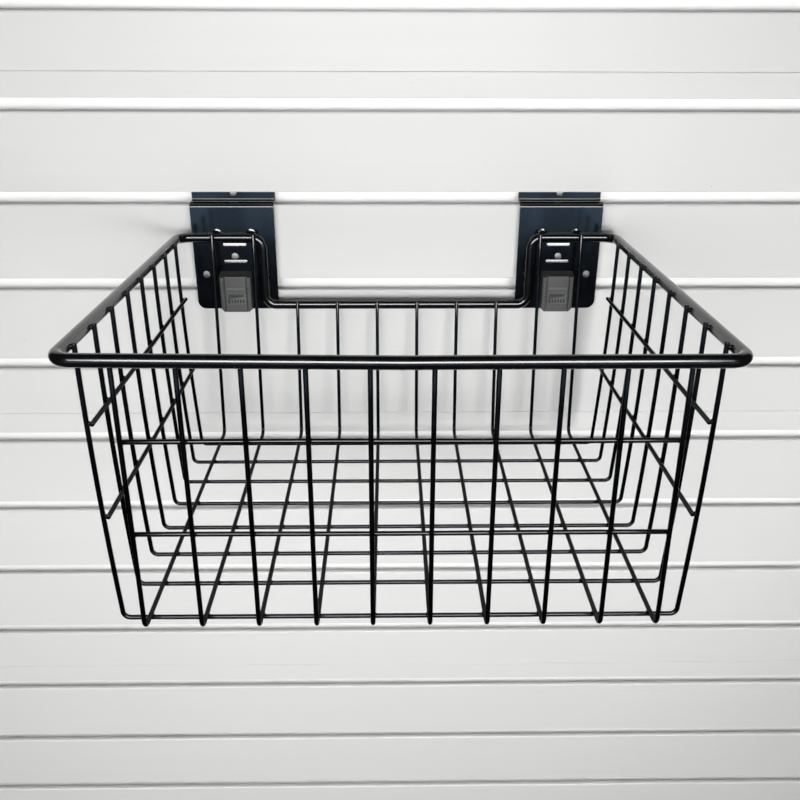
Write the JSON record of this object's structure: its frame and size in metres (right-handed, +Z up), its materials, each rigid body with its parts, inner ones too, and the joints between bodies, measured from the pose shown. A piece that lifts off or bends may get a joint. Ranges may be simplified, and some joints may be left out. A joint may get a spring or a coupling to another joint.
{
  "type": "slatwall panel with hook-on wire basket",
  "caption": "White PVC slatwall panel of interlocking planks, with a black wire basket on two locking brackets that slide along the slots.",
  "frame": {"origin": "on the panel's back face, half way along it, level with the top edge of the slot that holds the brackets' tongues", "axes": "+X along the slots to the viewer's right, +Y into the wall (the panel faces -Y), +Z up"},
  "size_m": [1.2192, 0.3566, 1.2243],
  "materials": {
    "white_pvc": "satin-gloss white PVC with faint extrusion lines",
    "zinc_screw": "zinc plated",
    "black_wire_coat": "glossy black powder coat",
    "black_sheet_coat": "glossy blue-black powder coat",
    "grey_lock_plastic": "fine-grained moulded dark grey plastic"
  },
  "bodies": {
    "panel": {"slat_plank_1": "white_pvc", "slat_plank_2": "white_pvc", "slat_plank_3": "white_pvc", "slat_plank_4": "white_pvc", "panel_screw_1": "zinc_screw", "panel_screw_2": "zinc_screw", "panel_screw_3": "zinc_screw", "panel_screw_4": "zinc_screw", "panel_screw_5": "zinc_screw", "panel_screw_6": "zinc_screw", "panel_screw_7": "zinc_screw", "panel_screw_8": "zinc_screw", "panel_screw_9": "zinc_screw", "panel_screw_10": "zinc_screw", "panel_screw_11": "zinc_screw", "panel_screw_12": "zinc_screw", "panel_screw_13": "zinc_screw", "panel_screw_14": "zinc_screw", "panel_screw_15": "zinc_screw", "panel_screw_16": "zinc_screw"},
    "basket": {"rim_rod": "black_wire_coat", "long_wire_1": "black_wire_coat", "long_wire_2": "black_wire_coat", "long_wire_3": "black_wire_coat", "long_wire_4": "black_wire_coat", "long_wire_5": "black_wire_coat", "long_wire_6": "black_wire_coat", "long_wire_7": "black_wire_coat", "long_wire_8": "black_wire_coat", "long_wire_9": "black_wire_coat", "long_wire_10": "black_wire_coat", "cross_wire_1": "black_wire_coat", "cross_wire_2": "black_wire_coat", "cross_wire_3": "black_wire_coat", "cross_wire_4": "black_wire_coat", "cross_wire_5": "black_wire_coat", "cross_wire_6": "black_wire_coat", "cross_wire_7": "black_wire_coat", "cross_wire_8": "black_wire_coat", "front_girth_wire_upper": "black_wire_coat", "front_girth_wire_lower": "black_wire_coat", "left_girth_wire_upper": "black_wire_coat", "right_girth_wire_upper": "black_wire_coat", "left_girth_wire_lower": "black_wire_coat", "right_girth_wire_lower": "black_wire_coat", "bracket_plate_left": "black_sheet_coat", "bracket_plate_right": "black_sheet_coat"},
    "lock_left": {"bracket_lock_left": "grey_lock_plastic"},
    "lock_right": {"bracket_lock_right": "grey_lock_plastic"}
  },
  "joints": [
    {"name": "basket_slide", "type": "slide", "parent": "panel", "child": "basket", "axis": [1, 0, 0], "range_m": [-0.4, 0.4]},
    {"name": "lock_left_lift", "type": "slide", "parent": "basket", "child": "lock_left", "axis": [0, 0, 1], "range_m": [0, 0.0046]},
    {"name": "lock_right_lift", "type": "slide", "parent": "basket", "child": "lock_right", "axis": [0, 0, 1], "range_m": [0, 0.0046]}
  ]
}
